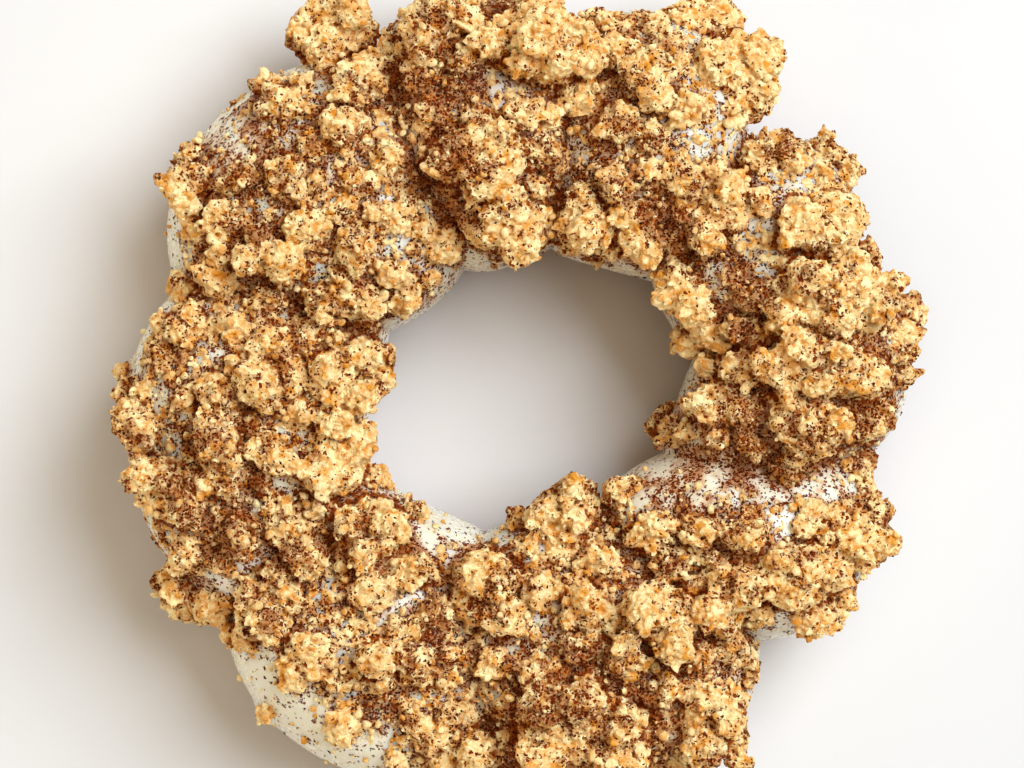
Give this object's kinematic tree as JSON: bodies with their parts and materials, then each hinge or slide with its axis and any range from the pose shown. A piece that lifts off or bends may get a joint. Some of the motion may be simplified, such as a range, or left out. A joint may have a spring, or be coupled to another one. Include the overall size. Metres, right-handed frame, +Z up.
{
  "type": "ring doughnut with icing and crumble topping",
  "caption": "Lobed ring doughnut, iced over the top and heaped with baked butter crumble dusted with ground cinnamon.",
  "frame": {"origin": "centre of the doughnut's box, on the surface it lies on", "axes": "+Z up through the hole, +X to the right and +Y to the top of the picture, which looks straight down"},
  "size_m": [0.096, 0.096, 0.0342],
  "materials": {
    "fried_dough": "fried, slightly greasy",
    "iced_crumble": "satin icing under dry baked crumble"
  },
  "bodies": {
    "root": {"dough_ring": "fried_dough", "icing_crumble": "iced_crumble"}
  },
  "joints": []
}
